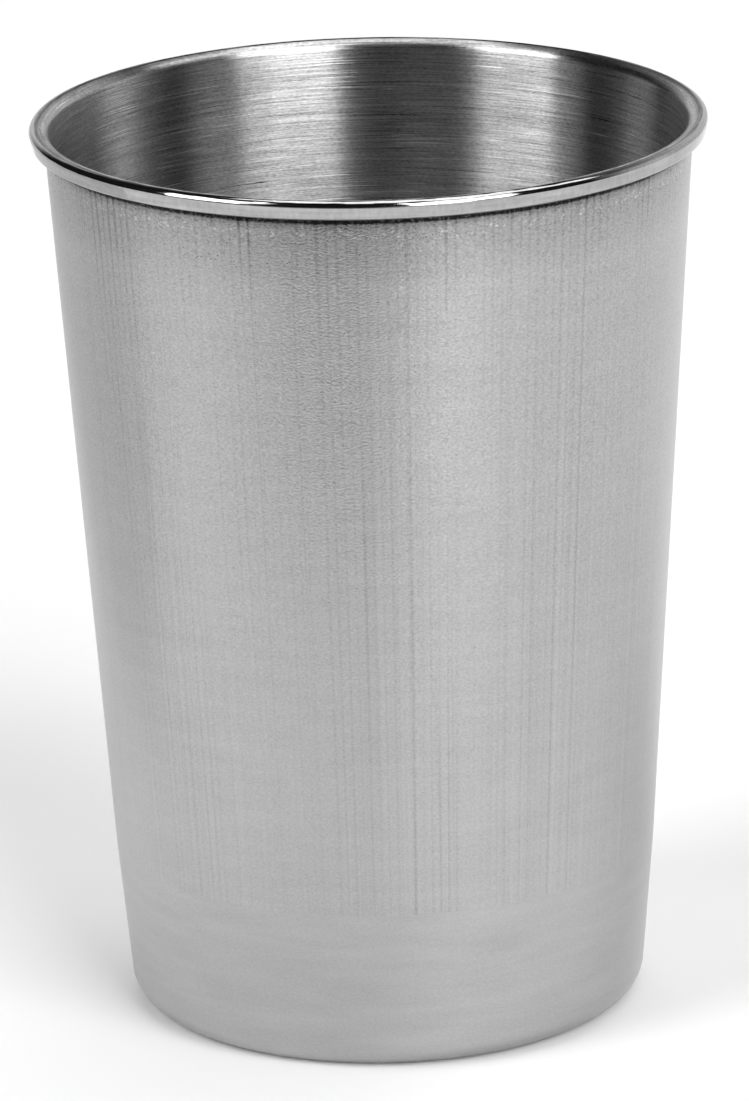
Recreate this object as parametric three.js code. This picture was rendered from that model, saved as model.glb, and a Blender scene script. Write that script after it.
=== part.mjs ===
// A plain stainless steel drinking cup. A tapered wall of thin sheet has its top edge rolled
// outwards over a wire, and a pressed base pan is welded to the wall's lower edge.
// Millimetres, +Z up. The origin is the middle of the base, on the table.

import * as THREE from "three";

// Driving dimensions

// From the table to the top of the rolled rim.
const OVERALL_HEIGHT = 120.6;
// Across the outside of the rolled rim.
const RIM_DIAMETER = 89.0;
// Across the outside of the wall, at the height of the weld's middle.
const SEAM_DIAMETER = 72.27;
// Across the outside of the base pan's own wall, carried straight down to the table.
const BASE_DIAMETER = 68.4;
// Thickness of the steel sheet, in the wall and in the base.
const SHEET = 0.7;
// The wire inside the rolled rim, and the play all round it.
const WIRE_DIAMETER = 1.0;
const WIRE_CLEARANCE = 0.1;
// Between the free edge of the roll and the outside of the wall.
const ROLL_SLOT = 0.3;
// From the table to the middle of the weld, and the weld's width up the wall.
const SEAM_HEIGHT = 21.7;
const SEAM_WIDTH = 1.2;
// The outside bend between the pan's wall and its bottom.
const HEEL_RADIUS = 4.0;
// The flat ring that the cup stands on.
const STAND_WIDTH = 3.0;
// The middle panel of the base: its height above the ring, and the slope of the step up to it.
const PANEL_RISE = 1.2;
const STEP_SLOPE = THREE.MathUtils.degToRad(45);

// Fineness of the facets: flats round the cup, and the most that one facet turns in a bend.
const FLATS_ROUND = 64;
const BEND_FACET = THREE.MathUtils.degToRad(20);
const WIRE_FLATS = 10;

// Worked-out sizes, in a half section: x is the distance from the axis and y is the height

const half = SHEET / 2;
const quarterTurn = Math.PI / 2;

// The roll wraps the wire with its clearance. rollMiddle is the radius of the sheet's middle.
const rollRadius = WIRE_DIAMETER / 2 + WIRE_CLEARANCE + SHEET;
const rollMiddle = rollRadius - half;
const rollCentre = new THREE.Vector2(RIM_DIAMETER / 2 - rollRadius, OVERALL_HEIGHT - rollRadius);

// The wall leans out from the weld so that it runs straight into the roll.
const rollAcross = rollCentre.x - SEAM_DIAMETER / 2;
const rollAbove = rollCentre.y - SEAM_HEIGHT;
const wallLean =
  Math.acos((rollMiddle - half) / Math.hypot(rollAcross, rollAbove)) -
  Math.atan2(rollAbove, rollAcross);
const wallOut = new THREE.Vector2(Math.cos(wallLean), -Math.sin(wallLean));

// The free edge of the roll stops where its outer corner is one slot away from the wall.
const rollStart = Math.PI - wallLean;
const rollOpening = Math.acos((rollRadius - SHEET - ROLL_SLOT) / rollRadius);
const rollEnd = rollStart - (2 * Math.PI - rollOpening);

// The pan's wall leans a little more than the wall above it, from the foot of the weld to the base.
const seamTop = SEAM_HEIGHT + SEAM_WIDTH / 2;
const seamFoot = SEAM_HEIGHT - SEAM_WIDTH / 2;
const panTop = wallStation(seamFoot).at.addScaledVector(wallOut, half);
const panLean = Math.atan2(panTop.x - BASE_DIAMETER / 2, panTop.y);

// The heel is tangent to the pan's wall and to the table.
const heelCentre = new THREE.Vector2(
  BASE_DIAMETER / 2 - (HEEL_RADIUS * (1 - Math.sin(panLean))) / Math.cos(panLean),
  HEEL_RADIUS,
);

// Two equal bends carry the base up from the standing ring to the middle panel.
const stepBend = PANEL_RISE / (2 * (1 - Math.cos(STEP_SLOPE)));
const stepFoot = new THREE.Vector2(heelCentre.x - STAND_WIDTH, half + stepBend);
const stepHead = new THREE.Vector2(
  stepFoot.x - 2 * stepBend * Math.sin(STEP_SLOPE),
  half + PANEL_RISE - stepBend,
);

// A station is a point on the middle of the sheet, with the direction of the sheet's outside
function station(at, out) {
  return { at, out };
}

// A station on the straight wall, at a height of the sheet's middle.
function wallStation(height) {
  const middleAtSeam = SEAM_DIAMETER / 2 - half / Math.cos(wallLean);
  const across = middleAtSeam + (height - SEAM_HEIGHT) * Math.tan(wallLean);
  return station(new THREE.Vector2(across, height), wallOut);
}

// Stations along a bend. side is 1 where the sheet's outside is the outside of the bend, else -1.
function bend(centre, radius, from, to, side) {
  const steps = Math.ceil(Math.abs(to - from) / BEND_FACET);
  const stations = [];
  for (let step = 0; step <= steps; step += 1) {
    const angle = from + ((to - from) * step) / steps;
    const ray = new THREE.Vector2(Math.cos(angle), Math.sin(angle));
    const at = ray.clone().multiplyScalar(radius).add(centre);
    stations.push(station(at, ray.multiplyScalar(side)));
  }
  return stations;
}

// The outline of a sheet: along its outside, then back along its inside.
function sheetOutline(stations) {
  const outside = stations.map(({ at, out }) => at.clone().addScaledVector(out, half));
  const inside = stations.map(({ at, out }) => at.clone().addScaledVector(out, -half));
  return [...outside, ...inside.reverse()];
}

// Turns an outline round the cup's axis. An outline that doesn't meet the axis is closed on itself.
function turned(outline) {
  const meetsAxis = outline[0].x === 0;
  const profile = meetsAxis ? outline : [...outline, outline[0]];
  return new THREE.LatheGeometry(profile, FLATS_ROUND).rotateX(quarterTurn);
}

// Sub-parts

// The wall runs up from the weld and over into the roll, where its outside turns to face the wire.
function taperedWall() {
  const roll = bend(rollCentre, rollMiddle, rollStart, rollEnd, -1);
  return turned(sheetOutline([wallStation(seamTop), ...roll]));
}

function rimWire() {
  const outline = [];
  for (let flat = 0; flat < WIRE_FLATS; flat += 1) {
    const angle = (2 * Math.PI * flat) / WIRE_FLATS;
    const ray = new THREE.Vector2(Math.cos(angle), Math.sin(angle));
    outline.push(ray.multiplyScalar(WIRE_DIAMETER / 2).add(rollCentre));
  }
  return turned(outline);
}

function seamWeld() {
  return turned(sheetOutline([wallStation(seamFoot), wallStation(seamTop)]));
}

// The base runs out from the axis: middle panel, step, standing ring, heel and short wall.
function basePan() {
  const down = new THREE.Vector2(0, -1);
  const middle = station(new THREE.Vector2(0, half + PANEL_RISE), down);
  const head = bend(stepHead, stepBend, quarterTurn, quarterTurn - STEP_SLOPE, -1);
  const foot = bend(stepFoot, stepBend, -quarterTurn - STEP_SLOPE, -quarterTurn, 1);
  const heel = bend(heelCentre, HEEL_RADIUS - half, -quarterTurn, -panLean, 1);
  return turned(sheetOutline([middle, ...head, ...foot.slice(1), ...heel, wallStation(seamFoot)]));
}

// Finishes: satin outside the cup, drawn wire in the rim, and ground weld metal

const satinSteel = new THREE.MeshStandardMaterial({ color: 0xbcbcbc, roughness: 0.38, metalness: 1 });
const plainSteel = new THREE.MeshStandardMaterial({ color: 0xb6b6b6, roughness: 0.42, metalness: 1 });
const drawnWire = new THREE.MeshStandardMaterial({ color: 0xa8a8a8, roughness: 0.3, metalness: 1 });
const groundWeld = new THREE.MeshStandardMaterial({ color: 0xb2b2b2, roughness: 0.48, metalness: 1 });

function piece(name, geometry, material) {
  const mesh = new THREE.Mesh(geometry, material);
  mesh.name = name;
  return mesh;
}

const cup = new THREE.Group();
cup.name = "stainless_steel_cup";
cup.add(
  piece("tapered_wall", taperedWall(), satinSteel),
  piece("rim_wire", rimWire(), drawnWire),
  piece("seam_weld", seamWeld(), groundWeld),
  piece("base_pan", basePan(), plainSteel),
);

export default cup;
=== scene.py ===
"""Dresses a plain stainless steel drinking cup: tapered wall, rolled rim, flush weld and pressed base.

Metres, +Z up, the middle of the base on the floor at the origin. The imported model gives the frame,
and each visible piece here stands for one of its nodes.
"""

from __future__ import annotations

import logging
import math
from collections.abc import Iterable, Mapping
from dataclasses import dataclass, field
from enum import Enum

import bmesh
import bpy
from mathutils import Matrix, Vector

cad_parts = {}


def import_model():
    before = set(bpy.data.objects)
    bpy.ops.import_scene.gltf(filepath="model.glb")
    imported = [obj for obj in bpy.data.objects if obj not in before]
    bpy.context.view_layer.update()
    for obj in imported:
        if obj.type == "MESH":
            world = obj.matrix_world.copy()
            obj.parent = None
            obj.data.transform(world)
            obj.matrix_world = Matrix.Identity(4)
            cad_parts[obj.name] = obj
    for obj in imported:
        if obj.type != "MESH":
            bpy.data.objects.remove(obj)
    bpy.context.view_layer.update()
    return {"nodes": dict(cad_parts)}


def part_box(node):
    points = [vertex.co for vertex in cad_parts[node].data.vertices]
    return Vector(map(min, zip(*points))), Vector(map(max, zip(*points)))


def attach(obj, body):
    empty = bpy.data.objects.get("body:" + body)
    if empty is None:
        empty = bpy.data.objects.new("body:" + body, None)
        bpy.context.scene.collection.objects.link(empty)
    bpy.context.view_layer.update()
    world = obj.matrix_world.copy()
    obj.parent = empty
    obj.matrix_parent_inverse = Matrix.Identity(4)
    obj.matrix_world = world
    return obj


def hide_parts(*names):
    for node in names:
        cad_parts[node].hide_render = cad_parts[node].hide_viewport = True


MM = 0.001
BODY = "root"
LOG = logging.getLogger("cup")

# A ramp that starts and ends gently.
GENTLE = {"interpolation_type": "SMOOTHSTEP"}
# Where the values of a noise mostly lie, for a mottle and for the strength of evenly spaced lines.
MOTTLE_SPREAD = (0.25, 0.75)
RIB_SPREAD = (0.3, 0.7)
# The values of a noise between which a patch of marks sets in.
PATCH_EDGE = (0.42, 0.62)
# How soft the sides of specks and stray lines are, as shares of a noise's range.
SPECK_EDGE = 0.08
LINE_EDGE = 0.1
# The size of the wander at the end of a band of marks, round the cup and up it.
FRAY_SIZE = (0.5 * MM, 30 * MM)
# The power of a square metre of a panel of light that looks as bright as white paper, in watts.
PANEL_POWER = 4.0


class Zone(Enum):
    """The surfaces of the sheet that were finished in different ways."""

    OUTSIDE = 0
    INSIDE = 1
    ROLL = 2


class Lay(Enum):
    """How the marks lie: on an upright wall, or on a flat disc where they run round the middle."""

    WALL = 0
    DISC = 1


class Pattern(Enum):
    """The kinds of mark: soft mottle, stray lines, evenly spaced lines, lone specks or a plain band."""

    MOTTLE = 0
    LINES = 1
    RIBS = 2
    SPECKS = 3
    BAND = 4


def linear(hex_colour: str) -> tuple[float, float, float, float]:
    """Turns an sRGB hex colour into a linear one.

    Args:
        hex_colour: Six hex digits after a hash sign.

    Returns:
        Red, green, blue and an alpha of one.
    """
    shares = [int(hex_colour[at : at + 2], 16) / 255 for at in (1, 3, 5)]
    red, green, blue = (s / 12.92 if s <= 0.04045 else ((s + 0.055) / 1.055) ** 2.4 for s in shares)
    return red, green, blue, 1.0


def add_node(
    tree: bpy.types.NodeTree,
    kind: str,
    settings: Mapping[str, object] | None = None,
    inputs: Mapping[str | int, object] | None = None,
) -> bpy.types.Node:
    """Adds a node with its settings, and links or sets its inputs.

    Args:
        tree: The node tree that it goes into.
        kind: The node's type name.
        settings: Its own properties by name.
        inputs: A socket to link from, or a plain value, for each input by name or number.

    Returns:
        The new node.
    """
    node = tree.nodes.new(kind)
    for name, value in (settings or {}).items():
        setattr(node, name, value)
    for name, value in (inputs or {}).items():
        if isinstance(value, bpy.types.NodeSocket):
            tree.links.new(value, node.inputs[name])
        else:
            node.inputs[name].default_value = value
    return node


def new_material(name: str) -> tuple[bpy.types.Material, bpy.types.NodeTree]:
    """Makes an empty node material.

    Args:
        name: The material's name.

    Returns:
        The material and its node tree.
    """
    material = bpy.data.materials.new(name)
    material.use_nodes = True
    material.node_tree.nodes.clear()
    return material, material.node_tree


def matt_material(name: str, shade: str) -> bpy.types.Material:
    """Makes a matt material for the floor and the cards.

    Args:
        name: The material's name.
        shade: Its colour in hex.

    Returns:
        The material.
    """
    material, tree = new_material(name)
    shader = add_node(tree, "ShaderNodeBsdfDiffuse", inputs={"Color": linear(shade)})
    add_node(tree, "ShaderNodeOutputMaterial", inputs={"Surface": shader.outputs["BSDF"]})
    return material


@dataclass(frozen=True)
class Ground:
    """The place of each point of the steel, unrolled so that marks keep their size up the taper."""

    tree: bpy.types.NodeTree
    place: bpy.types.NodeSocket
    height: bpy.types.NodeSocket
    radius: float


def unrolled(tree: bpy.types.NodeTree, lay: Lay, radius: float) -> Ground:
    """Moves each point onto an upright cylinder round the cup's axis.

    Args:
        tree: The material's node tree.
        lay: Whether the height or the distance from the axis becomes the cylinder's height.
        radius: The cylinder's radius.

    Returns:
        The unrolled place and its height.
    """
    here = add_node(tree, "ShaderNodeTexCoord").outputs["Object"]
    flat = add_node(tree, "ShaderNodeVectorMath", {"operation": "MULTIPLY"}, {0: here, 1: (1, 1, 0)})
    ray = add_node(tree, "ShaderNodeVectorMath", {"operation": "NORMALIZE"}, {0: flat.outputs["Vector"]})
    if lay is Lay.WALL:
        height = add_node(tree, "ShaderNodeSeparateXYZ", inputs={0: here}).outputs["Z"]
    else:
        span = add_node(tree, "ShaderNodeVectorMath", {"operation": "LENGTH"}, {0: flat.outputs["Vector"]})
        height = span.outputs["Value"]
    lift = add_node(tree, "ShaderNodeCombineXYZ", inputs={"Z": height})
    place = add_node(
        tree,
        "ShaderNodeVectorMath",
        {"operation": "MULTIPLY_ADD"},
        {0: ray.outputs["Vector"], 1: (radius, radius, 0), 2: lift.outputs["Vector"]},
    )
    return Ground(tree, place.outputs["Vector"], height, radius)


@dataclass(frozen=True)
class Layer:
    """One kind of mark on the steel, and what it does to the surface. Lengths are in metres.

    around and up are a mark's size round the cup and up it. tone and roughness are added where the
    mark is full, and relief is its height. cover is how much of the steel the marks take up. A patch
    keeps them to scattered patches of its size. low and high are the heights between which they lie,
    frayed is how far those two ends wander, and fade is how gently the marks set in there. detail is
    how finely a noise is broken up, and shift moves it, so that no two layers match.
    """

    pattern: Pattern
    around: float = MM
    up: float = MM
    tone: float = 0.0
    roughness: float = 0.0
    relief: float = 0.0
    detail: float = 2.0
    cover: float = 0.5
    patch: tuple[float, float] | None = None
    low: float | None = None
    high: float | None = None
    frayed: float = 0.0
    fade: float = 0.3 * MM
    shift: float = 0.0

    def noise(self, ground: Ground, around: float, up: float) -> bpy.types.NodeSocket:
        """Adds a noise with marks of one size.

        Args:
            ground: The unrolled place.
            around: The size of a mark round the cup.
            up: The size of a mark up the cup.

        Returns:
            Values about one half.
        """
        stretched = add_node(
            ground.tree,
            "ShaderNodeMapping",
            inputs={
                "Vector": ground.place,
                "Location": (self.shift, self.shift, self.shift),
                "Scale": (1 / around, 1 / around, 1 / up),
            },
        )
        noise = add_node(
            ground.tree,
            "ShaderNodeTexNoise",
            inputs={"Vector": stretched.outputs["Vector"], "Scale": 1.0, "Detail": self.detail},
        )
        return noise.outputs["Fac"]

    def ribs(self, ground: Ground) -> bpy.types.NodeSocket:
        """Adds upright lines at one pitch round the cup, some of them stronger than others.

        Args:
            ground: The unrolled place.

        Returns:
            Zero between the lines, and up to one on them.
        """
        tree = ground.tree
        count = round(math.tau * ground.radius / self.around)
        place = add_node(tree, "ShaderNodeSeparateXYZ", inputs={0: ground.place}).outputs
        inputs = {0: place["Y"], 1: place["X"]}
        bearing = add_node(tree, "ShaderNodeMath", {"operation": "ARCTAN2"}, inputs)
        inputs = {0: bearing.outputs[0], 1: count}
        phase = add_node(tree, "ShaderNodeMath", {"operation": "MULTIPLY"}, inputs)
        wave = add_node(tree, "ShaderNodeMath", {"operation": "SINE"}, {0: phase.outputs[0]})
        inputs = {"Value": wave.outputs[0], "From Min": 1 - 2 * self.cover, "From Max": 1.0}
        line = add_node(tree, "ShaderNodeMapRange", GENTLE, inputs)
        weak, strong = RIB_SPREAD
        inputs = {"Value": self.noise(ground, self.around, self.up), "From Min": weak, "From Max": strong}
        strength = add_node(tree, "ShaderNodeMapRange", inputs=inputs)
        inputs = {0: line.outputs["Result"], 1: strength.outputs["Result"]}
        return add_node(tree, "ShaderNodeMath", {"operation": "MULTIPLY"}, inputs).outputs[0]

    def marks(self, ground: Ground) -> bpy.types.NodeSocket:
        """Adds the marks themselves.

        Args:
            ground: The unrolled place.

        Returns:
            Minus one to one for a mottle, and otherwise zero to one.
        """
        tree = ground.tree
        if self.pattern is Pattern.RIBS:
            return self.ribs(ground)
        fac = self.noise(ground, self.around, self.up)
        if self.pattern is Pattern.MOTTLE:
            begin, full = MOTTLE_SPREAD
            inputs = {"Value": fac, "From Min": begin, "From Max": full, "To Min": -1.0}
            return add_node(tree, "ShaderNodeMapRange", inputs=inputs).outputs["Result"]
        if self.pattern is Pattern.LINES:
            # A stray line runs wherever the noise crosses its middle value.
            offset = add_node(tree, "ShaderNodeMath", {"operation": "SUBTRACT"}, {0: fac, 1: 0.5})
            aside = add_node(tree, "ShaderNodeMath", {"operation": "ABSOLUTE"}, {0: offset.outputs[0]})
            inputs = {"Value": aside.outputs[0], "From Min": LINE_EDGE * self.cover, "From Max": 0.0}
        else:
            # A speck lies wherever the noise comes near its highest values.
            edge = 1 - self.cover
            inputs = {"Value": fac, "From Min": edge, "From Max": edge + SPECK_EDGE}
        return add_node(tree, "ShaderNodeMapRange", GENTLE, inputs).outputs["Result"]

    def ends(self, ground: Ground) -> list[bpy.types.NodeSocket]:
        """Adds a limit for the lowest and the highest place of the marks, where they have one.

        Args:
            ground: The unrolled place.

        Returns:
            Limits that are one inside an end and zero beyond it.
        """
        tree = ground.tree
        limits: list[bpy.types.NodeSocket] = []
        for end, fade in ((self.low, self.fade), (self.high, -self.fade)):
            if end is None:
                continue
            height = ground.height
            if self.frayed:
                inputs = {0: self.noise(ground, *FRAY_SIZE), 1: 2 * self.frayed, 2: height}
                height = add_node(tree, "ShaderNodeMath", {"operation": "MULTIPLY_ADD"}, inputs).outputs[0]
            start = end + self.frayed
            inputs = {"Value": height, "From Min": start, "From Max": start + fade}
            limits.append(add_node(tree, "ShaderNodeMapRange", inputs=inputs).outputs["Result"])
        return limits

    def values(self, ground: Ground) -> bpy.types.NodeSocket:
        """Adds the marks, kept to their patches and between their ends.

        Args:
            ground: The unrolled place.

        Returns:
            The marks' values.
        """
        tree = ground.tree
        factors = self.ends(ground)
        if self.patch:
            begin, full = PATCH_EDGE
            inputs = {"Value": self.noise(ground, *self.patch), "From Min": begin, "From Max": full}
            factors.append(add_node(tree, "ShaderNodeMapRange", inputs=inputs).outputs["Result"])
        if self.pattern is not Pattern.BAND:
            factors.append(self.marks(ground))
        value = factors.pop()
        for factor in factors:
            inputs = {0: value, 1: factor}
            value = add_node(tree, "ShaderNodeMath", {"operation": "MULTIPLY"}, inputs).outputs[0]
        return value


@dataclass(frozen=True)
class SteelFinish:
    """A finish of stainless steel, built up from layers of marks.

    grain_turn is the direction of the grain in turns, and a quarter spreads reflections upright.
    wall_radius is about the cup's own, for the size of marks round it. darkest is the least that all
    the layers' tones together leave of the shade.
    """

    name: str
    shade: str
    roughness: float
    layers: tuple[Layer, ...]
    anisotropy: float = 0.0
    grain_turn: float = 0.0
    lay: Lay = Lay.WALL
    wall_radius: float = 40 * MM
    darkest: float = 0.03

    def material(self) -> bpy.types.Material:
        """Builds the material.

        Returns:
            The finished material.
        """
        material, tree = new_material(self.name)
        ground = unrolled(tree, self.lay, self.wall_radius)
        channels = {"tone": 1.0, "roughness": self.roughness, "relief": 0.0}
        for layer in self.layers:
            value = layer.values(ground)
            for channel, so_far in channels.items():
                weight = getattr(layer, channel)
                if weight:
                    inputs = {0: value, 1: weight, 2: so_far}
                    added = add_node(tree, "ShaderNodeMath", {"operation": "MULTIPLY_ADD"}, inputs)
                    channels[channel] = added.outputs[0]
        inputs = {0: channels["tone"], 1: self.darkest}
        tone = add_node(tree, "ShaderNodeMath", {"operation": "MAXIMUM"}, inputs)
        shade = add_node(
            tree,
            "ShaderNodeVectorMath",
            {"operation": "SCALE"},
            {0: linear(self.shade)[:3], "Scale": tone.outputs[0]},
        )
        bump = add_node(tree, "ShaderNodeBump", inputs={"Height": channels["relief"], "Distance": 1.0})
        shader = add_node(
            tree,
            "ShaderNodeBsdfPrincipled",
            inputs={
                "Base Color": shade.outputs["Vector"],
                "Metallic": 1.0,
                "Roughness": channels["roughness"],
                "Anisotropic": self.anisotropy,
                "Anisotropic Rotation": self.grain_turn,
                "Normal": bump.outputs["Normal"],
            },
        )
        add_node(tree, "ShaderNodeOutputMaterial", inputs={"Surface": shader.outputs["BSDF"]})
        return material


def satin(name: str, shade: str, layers: tuple[Layer, ...]) -> SteelFinish:
    """Gives steel rubbed to a satin, which spreads each reflection upright."""
    return SteelFinish(name, shade, roughness=0.31, layers=layers, anisotropy=0.42, grain_turn=0.25)


def level_grain(around: float, up: float) -> tuple[Layer, ...]:
    """Gives the marks of pressed or ground steel, rubbed level.

    Args:
        around: The size of the soft clouds round the cup.
        up: The size of the clouds up the cup.

    Returns:
        Clouds, faint level streaks and fine grain.
    """
    return (
        Layer(Pattern.MOTTLE, around, up, tone=0.03, roughness=0.01, detail=4.0),
        Layer(
            Pattern.MOTTLE, 14 * MM, 1.8 * MM, tone=0.05, roughness=0.01, relief=4e-6, detail=1.0, shift=2.0
        ),
        Layer(Pattern.MOTTLE, 0.4 * MM, 0.2 * MM, tone=0.08, roughness=0.01, relief=4e-6, shift=1.0),
    )


class SectionPen:
    """Draws a half section in the XZ plane by pushing one vertex along lines and bends."""

    def __init__(self, start: Vector) -> None:
        """Starts the section.

        Args:
            start: The first point, with X as the distance from the axis and Z as the height.
        """
        self.mesh = bmesh.new()
        self.tip = bmesh.ops.create_vert(self.mesh, co=start)["vert"][0]
        self.first = self.tip

    def line(self, end: Vector, steps: int = 1) -> None:
        """Extrudes the tip along a straight line.

        Args:
            end: Where the line ends.
            steps: The number of equal stretches.
        """
        stride = (end - self.tip.co) / steps
        for _ in range(steps):
            made = bmesh.ops.extrude_vert_indiv(self.mesh, verts=[self.tip])
            self.tip = made["verts"][0]
            bmesh.ops.translate(self.mesh, verts=[self.tip], vec=stride)

    def bend(self, centre: Vector, turn: float, steps: int) -> None:
        """Spins the tip about a centre.

        Args:
            centre: The bend's centre.
            turn: The angle, anticlockwise with X to the right and Z up.
            steps: The number of equal stretches.
        """
        made = bmesh.ops.spin(
            self.mesh, geom=[self.tip], cent=centre, axis=(0, -1, 0), angle=turn, steps=steps
        )
        self.tip = next(item for item in made["geom_last"] if isinstance(item, bmesh.types.BMVert))

    def close(self) -> None:
        """Joins the tip to the first point."""
        bmesh.ops.contextual_create(self.mesh, geom=[self.tip, self.first])

    def turned(self, flats: int) -> bmesh.types.BMesh:
        """Turns the section once round the cup's axis.

        Args:
            flats: The number of faces round the cup.

        Returns:
            The closed mesh, with its faces outwards.
        """
        mesh = self.mesh
        bmesh.ops.spin(
            mesh,
            geom=mesh.verts[:] + mesh.edges[:],
            cent=(0, 0, 0),
            axis=(0, 0, 1),
            angle=math.tau,
            steps=flats,
            use_merge=True,
        )
        bmesh.ops.remove_doubles(mesh, verts=mesh.verts[:], dist=0.0001 * MM)
        bmesh.ops.recalc_face_normals(mesh, faces=mesh.faces[:])
        return mesh


def finished_piece(
    mesh: bmesh.types.BMesh, name: str, node: str, materials: Iterable[bpy.types.Material]
) -> bpy.types.Object:
    """Makes an object of a mesh and ties it to the frame.

    Args:
        mesh: The finished mesh, which is freed.
        name: The object's name.
        node: The node that it stands for.
        materials: Its materials, in the order of the faces' numbers.

    Returns:
        The object.
    """
    crease = math.radians(35)
    for edge in mesh.edges:
        edge.smooth = edge.calc_face_angle(math.pi) < crease
    for face in mesh.faces:
        face.smooth = True
    data = bpy.data.meshes.new(name)
    mesh.to_mesh(data)
    mesh.free()
    for material in materials:
        data.materials.append(material)
    piece = bpy.data.objects.new(name, data)
    bpy.context.scene.collection.objects.link(piece)
    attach(piece, BODY)
    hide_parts(node)
    LOG.info("%s: %d faces", name, len(data.polygons))
    return piece


@dataclass
class CupShape:
    """The half section that every piece of the cup shares. Lengths are in metres."""

    height: float
    rim_radius: float
    seam_radius: float = 36.135 * MM
    sheet: float = 0.7 * MM
    wire_radius: float = 0.5 * MM
    wire_clearance: float = 0.1 * MM
    roll_slot: float = 0.3 * MM
    seam_height: float = 21.7 * MM
    seam_width: float = 1.2 * MM
    flats: int = 256

    @property
    def hollow_radius(self) -> float:
        """The inside of the rolled rim."""
        return self.wire_radius + self.wire_clearance

    @property
    def roll_radius(self) -> float:
        """The outside of the rolled rim."""
        return self.hollow_radius + self.sheet

    @property
    def roll_centre(self) -> Vector:
        """The middle of the rolled rim."""
        return Vector((self.rim_radius - self.roll_radius, 0, self.height - self.roll_radius))

    @property
    def lean(self) -> float:
        """The angle between the wall and upright, so that the wall runs straight into the roll."""
        across = self.roll_centre.x - self.seam_radius
        above = self.roll_centre.z - self.seam_height
        return math.acos(self.hollow_radius / math.hypot(across, above)) - math.atan2(above, across)

    @property
    def out(self) -> Vector:
        """The direction square to the wall, away from the axis."""
        return Vector((math.cos(self.lean), 0, -math.sin(self.lean)))

    def on_wall(self, height: float, depth: float) -> Vector:
        """Finds a point on the wall's sheet.

        Args:
            height: The height of the middle of the sheet there.
            depth: How far in from the wall's outside.

        Returns:
            The point, in the section's plane.
        """
        half = self.sheet / 2
        rise = height - self.seam_height
        middle = self.seam_radius - half / math.cos(self.lean) + rise * math.tan(self.lean)
        return Vector((middle, 0, height)) + (half - depth) * self.out


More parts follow.
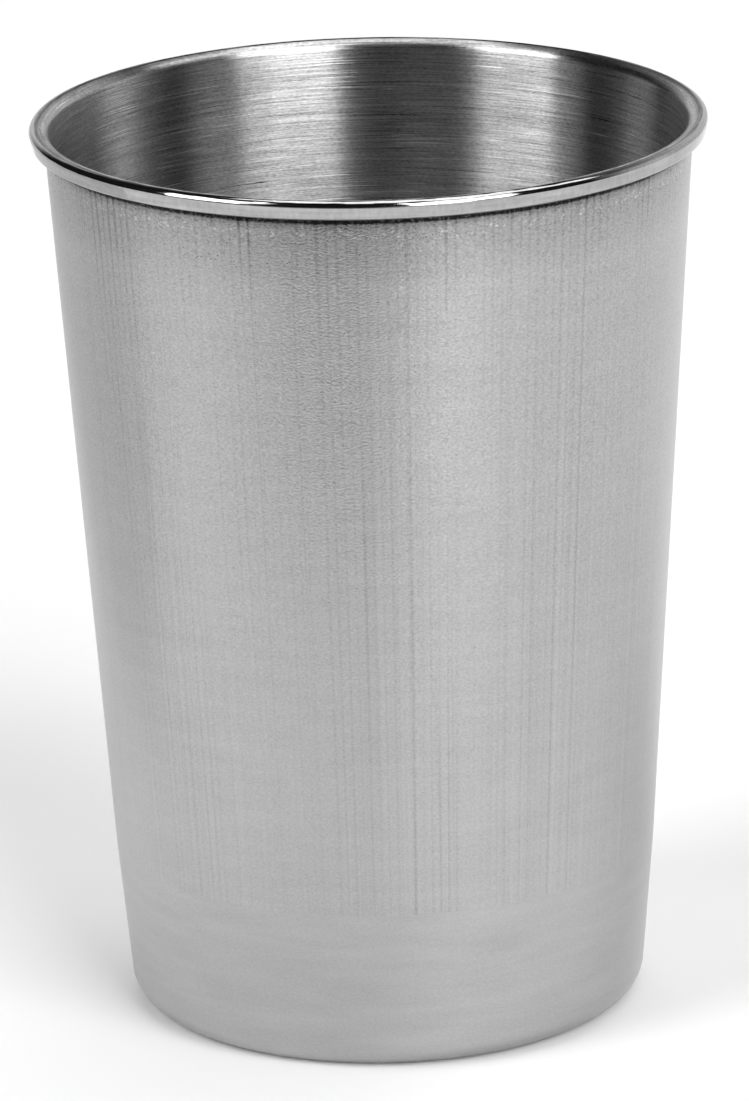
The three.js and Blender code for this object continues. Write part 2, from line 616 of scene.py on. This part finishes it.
@dataclass
class TaperedWall:
    """The conical wall with its top edge rolled over.

    The roll was pressed a little out of round: its crest stands outside its middle, and its outer
    face is flat and slightly undercut. face_top and face_foot are the ends of that face, as shares
    of the roll's radius above its middle.
    """

    shape: CupShape
    crest_shift: float = 0.5 * MM
    undercut: float = math.radians(12)
    face_top: float = 0.4
    face_foot: float = -0.7
    wall_steps: int = 40
    roll_steps: int = 56

    def build(self) -> bmesh.types.BMesh:
        """Turns the wall's section: up the outside, round the roll and down the inside.

        Returns:
            The wall's mesh.
        """
        shape = self.shape
        foot = shape.seam_height + shape.seam_width / 2
        opening = math.acos((shape.hollow_radius - shape.roll_slot) / shape.roll_radius)
        turn = math.tau - opening
        centre = shape.roll_centre
        pen = SectionPen(shape.on_wall(foot, 0))
        pen.line(centre - shape.hollow_radius * shape.out, self.wall_steps)
        pen.bend(centre, -turn, self.roll_steps)
        edge = pen.tip.co - centre
        pen.line(centre + edge * (shape.roll_radius / shape.hollow_radius))
        earlier = set(pen.mesh.verts)
        pen.bend(centre, turn, self.roll_steps)
        self.press([vert for vert in pen.mesh.verts if vert not in earlier], pen.mesh)
        pen.line(shape.on_wall(foot, shape.sheet), self.wall_steps)
        pen.close()
        mesh = pen.turned(shape.flats)
        for face in mesh.faces:
            face.material_index = self.zone(face).value
        return mesh

    def press(self, skin: Iterable[bmesh.types.BMVert], mesh: bmesh.types.BMesh) -> None:
        """Presses the outside of the roll out of round, in the half section.

        Args:
            skin: The points of the roll's outside.
            mesh: The half section.
        """
        radius = self.shape.roll_radius
        crest = self.crest_shift / radius
        slope = math.tan(self.undercut)
        foot = 1 - slope * (self.face_top - self.face_foot)
        for vert in skin:
            arm = (vert.co - self.shape.roll_centre) / radius
            across = arm.x
            if arm.x < 0 < arm.z:
                # The inner shoulder is stretched out to the crest.
                across = arm.x + crest * (1 + arm.x)
            elif arm.z > self.face_top:
                # A quarter of an ellipse comes down from the crest to the face.
                rise = (arm.z - self.face_top) / (1 - self.face_top)
                across = crest + (1 - crest) * math.sqrt(max(0.0, 1 - rise * rise))
            elif arm.z > self.face_foot and arm.x > 0:
                # The face is flat and undercut.
                across = 1 - slope * (self.face_top - arm.z)
            elif arm.x > 0:
                # The round below the face is drawn in to meet it.
                across = arm.x * foot / math.sqrt(1 - self.face_foot**2)
            bmesh.ops.translate(mesh, verts=[vert], vec=((across - arm.x) * radius, 0, 0))

    def zone(self, face: bmesh.types.BMFace) -> Zone:
        """Says how a face was finished.

        Args:
            face: A face of the wall.

        Returns:
            The zone that it lies in.
        """
        middle = face.calc_center_median()
        across = Vector((middle.x, middle.y))
        centre = self.shape.roll_centre
        if middle.z > centre.z and across.length > centre.x + self.crest_shift:
            return Zone.ROLL
        if middle.z > centre.z - self.shape.roll_radius and across.length > centre.x:
            return Zone.ROLL
        outward = across.dot(Vector((face.normal.x, face.normal.y))) > 0
        return Zone.OUTSIDE if outward else Zone.INSIDE

    def outside(self) -> SteelFinish:
        """Gives the satin outside, with upright draw lines above the weld.

        Returns:
            The finish.
        """
        weld = self.shape.seam_height
        roll_foot = self.shape.height - 2 * self.shape.roll_radius
        # Drawn sheet rubbed to a satin gives soft upright bands of light without a clear reflection.
        # The grain is pitted more and more towards the rim. The real grain is a few hundredths of a
        # millimetre, too fine to show, so it is drawn about a quarter of a millimetre wide.
        grain = (
            Layer(Pattern.MOTTLE, 16 * MM, 9 * MM, tone=0.02, roughness=0.01, detail=4.0),
            Layer(
                Pattern.MOTTLE,
                12 * MM,
                1.5 * MM,
                tone=0.03,
                roughness=0.01,
                relief=3e-6,
                detail=1.0,
                shift=2.0,
            ),
            Layer(Pattern.MOTTLE, 0.35 * MM, 0.2 * MM, tone=0.11, roughness=0.01, relief=3e-6, shift=1.0),
            Layer(
                Pattern.MOTTLE,
                0.4 * MM,
                0.25 * MM,
                tone=0.16,
                roughness=0.01,
                relief=1.4e-5,
                low=20 * MM,
                fade=70 * MM,
                shift=21.0,
            ),
        )
        # The draw left upright lines about 1.2 mm apart, which stop at the weld and are darkest under
        # the rim.
        draw_lines = (
            Layer(
                Pattern.MOTTLE,
                0.6 * MM,
                600 * MM,
                tone=0.06,
                roughness=0.01,
                relief=1e-5,
                patch=(9 * MM, 90 * MM),
                low=weld,
                frayed=1.5 * MM,
                shift=3.0,
            ),
            Layer(
                Pattern.RIBS,
                1.2 * MM,
                500 * MM,
                tone=-0.12,
                relief=-3e-6,
                cover=0.4,
                patch=(9 * MM, 120 * MM),
                low=weld,
                frayed=1.5 * MM,
                shift=25.0,
            ),
            Layer(
                Pattern.LINES,
                3 * MM,
                800 * MM,
                tone=-0.1,
                relief=-5e-6,
                cover=0.16,
                patch=(10 * MM, 70 * MM),
                low=weld,
                frayed=1.5 * MM,
                shift=6.0,
            ),
            Layer(
                Pattern.RIBS,
                1.2 * MM,
                60 * MM,
                tone=-0.34,
                relief=-5e-6,
                cover=0.45,
                patch=(5 * MM, 60 * MM),
                low=roll_foot - 20 * MM,
                fade=20 * MM,
                shift=17.0,
            ),
        )
        # Short level scratches in patches, and small pits in the upper half.
        wear = (
            Layer(
                Pattern.SPECKS,
                1.5 * MM,
                0.2 * MM,
                tone=-0.26,
                relief=-4e-6,
                detail=1.0,
                cover=0.27,
                patch=(20 * MM, 25 * MM),
                low=30 * MM,
                fade=20 * MM,
                shift=27.0,
            ),
            Layer(
                Pattern.SPECKS,
                0.4 * MM,
                0.22 * MM,
                tone=-0.06,
                relief=-9e-6,
                detail=1.0,
                cover=0.3,
                low=70 * MM,
                fade=45 * MM,
                shift=7.0,
            ),
        )
        # Painted shade under the roll: the wall is painted darker for about 10 mm below it, as its shadow.
        # Then bright flecks, a ragged dark edge that is partly unpolished sheet and partly painted shade,
        # and a painted near-black line for the shadow in the shut slot.
        under_roll_flecks_and_painted_shade = (
            Layer(
                Pattern.SPECKS,
                0.5 * MM,
                0.4 * MM,
                tone=0.45,
                relief=8e-6,
                detail=1.0,
                cover=0.4,
                low=roll_foot - 3.09 * MM,
                high=roll_foot - 1.69 * MM,
                frayed=0.9 * MM,
                fade=0.5 * MM,
                shift=31.0,
            ),
            Layer(Pattern.BAND, roughness=-0.03, low=roll_foot - 15 * MM, fade=14 * MM),
            # Painted shade: the roll's shadow, deepening over the last 10 mm of wall below the roll.
            Layer(Pattern.BAND, tone=-0.25, low=roll_foot - 10 * MM, fade=9 * MM),
            # A ragged dark edge, partly unpolished sheet and partly painted shade from the roll.
            Layer(Pattern.BAND, tone=-0.22, low=roll_foot - 1.69 * MM, frayed=0.9 * MM, fade=0.6 * MM),
            # Painted shadow: a near-black line where the shut slot under the roll lies in shade.
            Layer(Pattern.BAND, tone=-0.5, low=roll_foot - 0.94 * MM, frayed=0.1 * MM),
        )
        layers = grain + draw_lines + wear + under_roll_flecks_and_painted_shade
        return satin("satin_drawn_stainless_sheet", "#b0b0b0", layers)

    def inside(self) -> SteelFinish:
        """Gives the inside, brushed round and round.

        Returns:
            The finish.
        """
        # Brushing round and round gives upright bands of light with clear sides, streaked by level
        # scratches, some bright and some dark. The real brush marks are finer than a pixel, so they are
        # drawn about 0.15 mm wide.
        brushed = (
            Layer(Pattern.MOTTLE, 9 * MM, 0.15 * MM, tone=0.44, roughness=0.01, relief=4e-6, detail=4.0),
            Layer(Pattern.MOTTLE, 40 * MM, 0.9 * MM, tone=0.12, roughness=0.01, relief=4e-6, shift=5.0),
            Layer(Pattern.MOTTLE, 0.5 * MM, 0.18 * MM, tone=0.3, shift=15.0),
        )
        beds = (9 * MM, 12 * MM)
        scratches = (
            Layer(
                Pattern.SPECKS, 12 * MM, 0.16 * MM, tone=1.3, relief=2e-6, cover=0.39, patch=beds, shift=9.0
            ),
            Layer(Pattern.SPECKS, 12 * MM, 0.16 * MM, tone=-0.55, cover=0.39, patch=beds, shift=13.0),
            Layer(Pattern.SPECKS, 0.5 * MM, 0.25 * MM, tone=0.5, relief=4e-6, cover=0.27, shift=11.0),
        )
        return SteelFinish(
            name="round_brushed_stainless_sheet",
            shade="#b3b3b3",
            roughness=0.285,
            layers=brushed + scratches,
            anisotropy=1.0,
            grain_turn=0.25,
        )

    def roll(self) -> SteelFinish:
        """Gives the rolled rim, polished bright.

        Returns:
            The finish.
        """
        # A polished bead gives bright and black lines along its crest, which waver because the roll
        # isn't quite true. Its polishing marks are drawn coarser than they are, so that they show.
        return SteelFinish(
            name="polished_stainless_roll",
            shade="#acacac",
            roughness=0.07,
            lay=Lay.DISC,
            layers=(
                Layer(Pattern.MOTTLE, 7 * MM, 0.6 * MM, roughness=0.02, relief=2.6e-5),
                Layer(Pattern.MOTTLE, 8 * MM, 0.15 * MM, tone=0.15, roughness=0.02, relief=1e-6, shift=4.0),
                Layer(Pattern.MOTTLE, 0.5 * MM, 0.25 * MM, tone=0.1, shift=8.0),
            ),
        )

    def dress(self) -> bpy.types.Object:
        """Builds the wall and gives each zone its finish.

        Returns:
            The wall's object.
        """
        finishes = {Zone.OUTSIDE: self.outside(), Zone.INSIDE: self.inside(), Zone.ROLL: self.roll()}
        looks = [finishes[zone].material() for zone in Zone]
        return finished_piece(self.build(), "cup_wall", "tapered_wall", looks)


@dataclass
class SeamWeld:
    """The flush ring of weld between the wall and the base."""

    shape: CupShape

    def build(self) -> bmesh.types.BMesh:
        """Turns the weld's section.

        Returns:
            The weld's mesh.
        """
        shape = self.shape
        foot = shape.seam_height - shape.seam_width / 2
        top = shape.seam_height + shape.seam_width / 2
        pen = SectionPen(shape.on_wall(foot, 0))
        pen.line(shape.on_wall(top, 0))
        pen.line(shape.on_wall(top, shape.sheet))
        pen.line(shape.on_wall(foot, shape.sheet))
        pen.close()
        return pen.turned(shape.flats)

    def finish(self) -> SteelFinish:
        """Gives the ground weld."""
        # Ground and rubbed level with the sheet, so it shows only as the line where the draw marks end.
        return satin("ground_stainless_weld", "#b0b0b0", level_grain(12 * MM, 6 * MM))

    def dress(self) -> bpy.types.Object:
        """Builds the weld and gives it its finish."""
        looks = [self.finish().material()]
        return finished_piece(self.build(), "cup_seam", "seam_weld", looks)


@dataclass
class BasePan:
    """The pressed base: short wall, heel, standing ring and raised middle panel.

    Faces within flat_tilt of level take the disc's finish.
    """

    shape: CupShape
    base_radius: float = 34.2 * MM
    heel_radius: float = 4.0 * MM
    stand_width: float = 3.0 * MM
    panel_rise: float = 1.2 * MM
    step_slope: float = math.radians(45)
    flat_tilt: float = math.radians(30)
    wall_steps: int = 10
    heel_steps: int = 18
    step_steps: int = 8
    stand_steps: int = 2
    panel_steps: int = 12

    def build(self) -> bmesh.types.BMesh:
        """Turns the base's section: out along the underside, up the outside and back inside.

        Returns:
            The base's mesh.
        """
        sheet = self.shape.sheet
        top = self.shape.seam_height - self.shape.seam_width / 2
        brim = self.shape.on_wall(top, 0)
        lean = math.atan2(brim.x - self.base_radius, brim.z)
        out = Vector((math.cos(lean), 0, -math.sin(lean)))
        heel_x = self.base_radius - self.heel_radius * (1 - math.sin(lean)) / math.cos(lean)
        heel = Vector((heel_x, 0, self.heel_radius))
        bend = self.panel_rise / (2 * (1 - math.cos(self.step_slope)))
        foot = Vector((heel_x - self.stand_width, 0, sheet / 2 + bend))
        head = foot + Vector((-2 * bend * math.sin(self.step_slope), 0, self.panel_rise - 2 * bend))
        heel_turn = math.pi / 2 - lean
        pen = SectionPen(Vector((0, 0, self.panel_rise)))
        pen.line(Vector((head.x, 0, self.panel_rise)), self.panel_steps)
        pen.bend(head, -self.step_slope, self.step_steps)
        pen.bend(foot, self.step_slope, self.step_steps)
        pen.line(Vector((heel_x, 0, 0)), self.stand_steps)
        pen.bend(heel, heel_turn, self.heel_steps)
        pen.line(brim, self.wall_steps)
        pen.line(self.shape.on_wall(top, sheet))
        pen.line(heel + (self.heel_radius - sheet) * out, self.wall_steps)
        pen.bend(heel, -heel_turn, self.heel_steps)
        pen.line(Vector((foot.x, 0, sheet)), self.stand_steps)
        pen.bend(foot, -self.step_slope, self.step_steps)
        pen.bend(head, self.step_slope, self.step_steps)
        pen.line(Vector((0, 0, self.panel_rise + sheet)), self.panel_steps)
        mesh = pen.turned(self.shape.flats)
        for face in mesh.faces:
            upright = abs(face.normal.z) < math.cos(self.flat_tilt)
            face.material_index = Lay.WALL.value if upright else Lay.DISC.value
        return mesh

    def wall(self) -> SteelFinish:
        """Gives the short wall and heel."""
        # Pressed and rubbed to a satin: the same soft bands of light as above it, without draw lines.
        return satin("satin_pressed_stainless_wall", "#afafaf", level_grain(14 * MM, 5 * MM))

    def disc(self) -> SteelFinish:
        """Gives the flat of the base.

        Returns:
            The finish.
        """
        # A pressed satin disc gives an even soft shine, with faint rings round its middle that are drawn
        # wider than the real ones, so that they show.
        return SteelFinish(
            name="satin_pressed_stainless_disc",
            shade="#c8c8c8",
            roughness=0.38,
            lay=Lay.DISC,
            layers=(
                Layer(Pattern.MOTTLE, 14 * MM, 8 * MM, tone=0.04, roughness=0.04, detail=4.0),
                Layer(Pattern.MOTTLE, 25 * MM, 0.35 * MM, tone=0.05, roughness=0.04, relief=3e-6),
            ),
        )

    def dress(self) -> bpy.types.Object:
        """Builds the base and gives it its finishes.

        Returns:
            The base's object.
        """
        finishes = {Lay.WALL: self.wall(), Lay.DISC: self.disc()}
        looks = [finishes[lay].material() for lay in Lay]
        return finished_piece(self.build(), "cup_base", "base_pan", looks)


def dress_wire(wire: bpy.types.Object) -> None:
    """Gives the wire inside the rim its finish.

    Args:
        wire: The node of the wire, which stays as it is.
    """
    # Drawn wire gives a plain grey gleam, with faint lines along it that are drawn wider than they are.
    finish = SteelFinish(
        name="drawn_stainless_wire",
        shade="#c4c4c4",
        roughness=0.3,
        layers=(Layer(Pattern.MOTTLE, 8 * MM, 0.15 * MM, tone=0.06, roughness=0.05, relief=1e-6),),
    )
    wire.data.materials.clear()
    wire.data.materials.append(finish.material())
    LOG.info("rim_wire: %d faces, its own node", len(wire.data.polygons))


@dataclass(frozen=True)
class Softbox:
    """A rectangular panel of light that faces the middle of the cup.

    bearing is in degrees round to the right from the camera's side, and rise in degrees above the
    floor. wide and tall are the degrees that it fills, seen from the cup. A level of one is as bright
    as white paper. lean is how far its top leans towards a larger bearing, in degrees.
    """

    name: str
    bearing: float
    rise: float
    wide: float
    tall: float
    level: float
    lean: float = 0.0
    distance: float = 4.0

    def add(self, target: Vector) -> None:
        """Hangs the panel.

        Args:
            target: The point that it faces.
        """
        lamp = bpy.data.lights.new(self.name, "AREA")
        lamp.shape = "RECTANGLE"
        lamp.size = 2 * self.distance * math.tan(math.radians(self.wide / 2))
        lamp.size_y = 2 * self.distance * math.tan(math.radians(self.tall / 2))
        lamp.energy = PANEL_POWER * self.level * lamp.size * lamp.size_y
        bearing, rise = math.radians(self.bearing), math.radians(self.rise)
        level_ray = Vector((math.sin(bearing), -math.cos(bearing), 0))
        ray = math.cos(rise) * level_ray + math.sin(rise) * Vector((0, 0, 1))
        holder = bpy.data.objects.new(self.name, lamp)
        turn = ray.to_track_quat("Z", "Y").to_matrix().to_4x4()
        lean = Matrix.Rotation(math.radians(-self.lean), 4, "Z")
        holder.matrix_world = Matrix.Translation(target + self.distance * ray) @ turn @ lean
        holder.visible_camera = False
        bpy.context.scene.collection.objects.link(holder)


@dataclass(frozen=True)
class Card:
    """A grey card on the floor, which shows only in the steel's reflections.

    low and high are two opposite corners, in metres, and lift keeps it clear of the floor.
    """

    name: str
    shade: str
    low: tuple[float, float]
    high: tuple[float, float]
    lift: float = 1 * MM

    def add(self) -> None:
        """Lays the card."""
        low, high = Vector(self.low), Vector(self.high)
        middle, span = (low + high) / 2, high - low
        mesh = bmesh.new()
        bmesh.ops.create_grid(mesh, x_segments=1, y_segments=1, size=0.5)
        bmesh.ops.scale(mesh, verts=mesh.verts[:], vec=(span.x, span.y, 1))
        bmesh.ops.translate(mesh, verts=mesh.verts[:], vec=(middle.x, middle.y, self.lift))
        data = bpy.data.meshes.new(self.name)
        mesh.to_mesh(data)
        mesh.free()
        data.materials.append(matt_material(self.name, self.shade))
        card = bpy.data.objects.new(self.name, data)
        card.visible_camera = False
        card.visible_diffuse = False
        card.visible_shadow = False
        bpy.context.scene.collection.objects.link(card)


@dataclass
class Studio:
    """The floor, the light and the camera.

    A pale backdrop stands round behind the cup. backdrop_edge holds the cosines of the angles from its
    bearing where it begins and where it is full, and backdrop_top the sines of the elevations where it
    ends and where it is full. It is lower straight behind the cup, which keeps the inner edge of the
    rim dark: side_rise is how much higher it stands to the sides, and side_edge how far out that is.
    """

    cup_height: float
    floor_radius: float = 6.0
    floor_shade: str = "#f5f5f5"
    cards: tuple[Card, ...] = (
        Card("front_card", "#808080", (-2.0, -4.33), (0.16, -0.33)),
        Card("left_card", "#d8d8d8", (-1.5, 0.0), (-0.14, 0.8)),
    )
    room_level: float = 0.015
    softboxes: tuple[Softbox, ...] = (
        Softbox("right_softbox", 25, 30, 23, 54, 3.95, lean=6),
        Softbox("right_edge", 45.2, 34, 13.6, 46, 3.55, lean=13),
        Softbox("left_softbox", -63.2, 34, 27.4, 46, 3.95, lean=-15),
        Softbox("left_edge", -45, 32, 7, 40, 1.35),
        Softbox("top_softbox", 150, 72, 50, 40, 1.8),
    )
    backdrop_level: float = 0.8
    backdrop_bearing: float = math.radians(150)
    backdrop_edge: tuple[float, float] = (0.3, 0.75)
    backdrop_top: tuple[float, float] = (0.45, 0.0)
    side_edge: tuple[float, float] = (0.04, 0.24)
    side_rise: float = 0.35
    glossy_bounces: int = 10
    camera_distance: float = 1.044
    camera_rise: float = math.radians(17.356)
    camera_roll: float = math.radians(1.386)
    lens_pixels: float = 7834.0
    frame_pixels: float = 1101.0
    sensor: float = 36.0
    aim_offset: Vector = field(default_factory=lambda: Vector((-0.54 * MM, 0, 0.65 * MM)))

    def add_floor(self) -> None:
        """Lays the pale floor."""
        mesh = bmesh.new()
        bmesh.ops.create_circle(mesh, cap_ends=True, radius=self.floor_radius, segments=96)
        data = bpy.data.meshes.new("floor")
        mesh.to_mesh(data)
        mesh.free()
        data.materials.append(matt_material("white_floor", self.floor_shade))
        floor = bpy.data.objects.new("floor", data)
        bpy.context.scene.collection.objects.link(floor)

    def add_room(self) -> None:
        """Surrounds the cup with a dim room and the pale backdrop."""
        world = bpy.data.worlds.new("studio")
        world.use_nodes = True
        tree = world.node_tree
        tree.nodes.clear()
        sight = add_node(tree, "ShaderNodeTexCoord").outputs["Generated"]
        ray = add_node(tree, "ShaderNodeSeparateXYZ", inputs={0: sight}).outputs
        bearing = (math.sin(self.backdrop_bearing), -math.cos(self.backdrop_bearing), 0)
        facing = add_node(tree, "ShaderNodeVectorMath", {"operation": "DOT_PRODUCT"}, {0: sight, 1: bearing})
        begin, full = self.backdrop_edge
        inputs = {"Value": facing.outputs["Value"], "From Min": begin, "From Max": full}
        across = add_node(tree, "ShaderNodeMapRange", GENTLE, inputs)
        aside = add_node(tree, "ShaderNodeMath", {"operation": "ABSOLUTE"}, {0: ray["X"]})
        begin, full = self.side_edge
        inputs = {"Value": aside.outputs[0], "From Min": begin, "From Max": full}
        side = add_node(tree, "ShaderNodeMapRange", GENTLE, inputs)
        inputs = {0: side.outputs["Result"], 1: -self.side_rise, 2: ray["Z"]}
        rise = add_node(tree, "ShaderNodeMath", {"operation": "MULTIPLY_ADD"}, inputs)
        begin, full = self.backdrop_top
        inputs = {"Value": rise.outputs[0], "From Min": begin, "From Max": full}
        below = add_node(tree, "ShaderNodeMapRange", GENTLE, inputs)
        inputs = {0: across.outputs["Result"], 1: below.outputs["Result"]}
        backdrop = add_node(tree, "ShaderNodeMath", {"operation": "MULTIPLY"}, inputs)
        inputs = {"Value": backdrop.outputs[0], "To Min": self.room_level, "To Max": self.backdrop_level}
        level = add_node(tree, "ShaderNodeMapRange", inputs=inputs)
        inputs = {"Color": level.outputs["Result"], "Strength": 1.0}
        light = add_node(tree, "ShaderNodeBackground", inputs=inputs)
        add_node(tree, "ShaderNodeOutputWorld", inputs={"Surface": light.outputs["Background"]})
        bpy.context.scene.world = world

    def add_light(self) -> None:
        """Hangs the softboxes and lays the cards that show in the steel."""
        middle = Vector((0, 0, self.cup_height / 2))
        for softbox in self.softboxes:
            softbox.add(middle)
        for card in self.cards:
            card.add()
        bpy.context.scene.cycles.glossy_bounces = self.glossy_bounces

    def add_camera(self) -> None:
        """Sets the camera at the photograph's viewing angle."""
        middle = Vector((0, 0, self.cup_height / 2))
        back = Vector((0, -math.cos(self.camera_rise), math.sin(self.camera_rise)))
        data = bpy.data.cameras.new("camera")
        data.sensor_fit = "VERTICAL"
        data.sensor_height = self.sensor
        data.lens = self.lens_pixels * self.sensor / self.frame_pixels
        camera = bpy.data.objects.new("camera", data)
        place = middle + self.camera_distance * back
        sight = middle + self.aim_offset - place
        turn = sight.to_track_quat("-Z", "Y").to_matrix().to_4x4()
        camera.matrix_world = Matrix.Translation(place) @ turn @ Matrix.Rotation(-self.camera_roll, 4, "Z")
        bpy.context.scene.collection.objects.link(camera)
        bpy.context.scene.camera = camera


def main() -> None:
    """Builds the cup's pieces, the studio and the camera."""
    logging.basicConfig(level=logging.INFO, format="%(name)s: %(message)s")
    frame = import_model()
    low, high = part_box("tapered_wall")
    shape = CupShape(height=high.z, rim_radius=(high.x - low.x) / 2)
    LOG.info("wall lean %.3f degrees", math.degrees(shape.lean))
    TaperedWall(shape).dress()
    SeamWeld(shape).dress()
    BasePan(shape).dress()
    dress_wire(frame["nodes"]["rim_wire"])
    studio = Studio(cup_height=high.z)
    studio.add_floor()
    studio.add_room()
    studio.add_light()
    studio.add_camera()
    bpy.context.scene.view_settings.view_transform = "Standard"


if __name__ == "__main__":
    main()
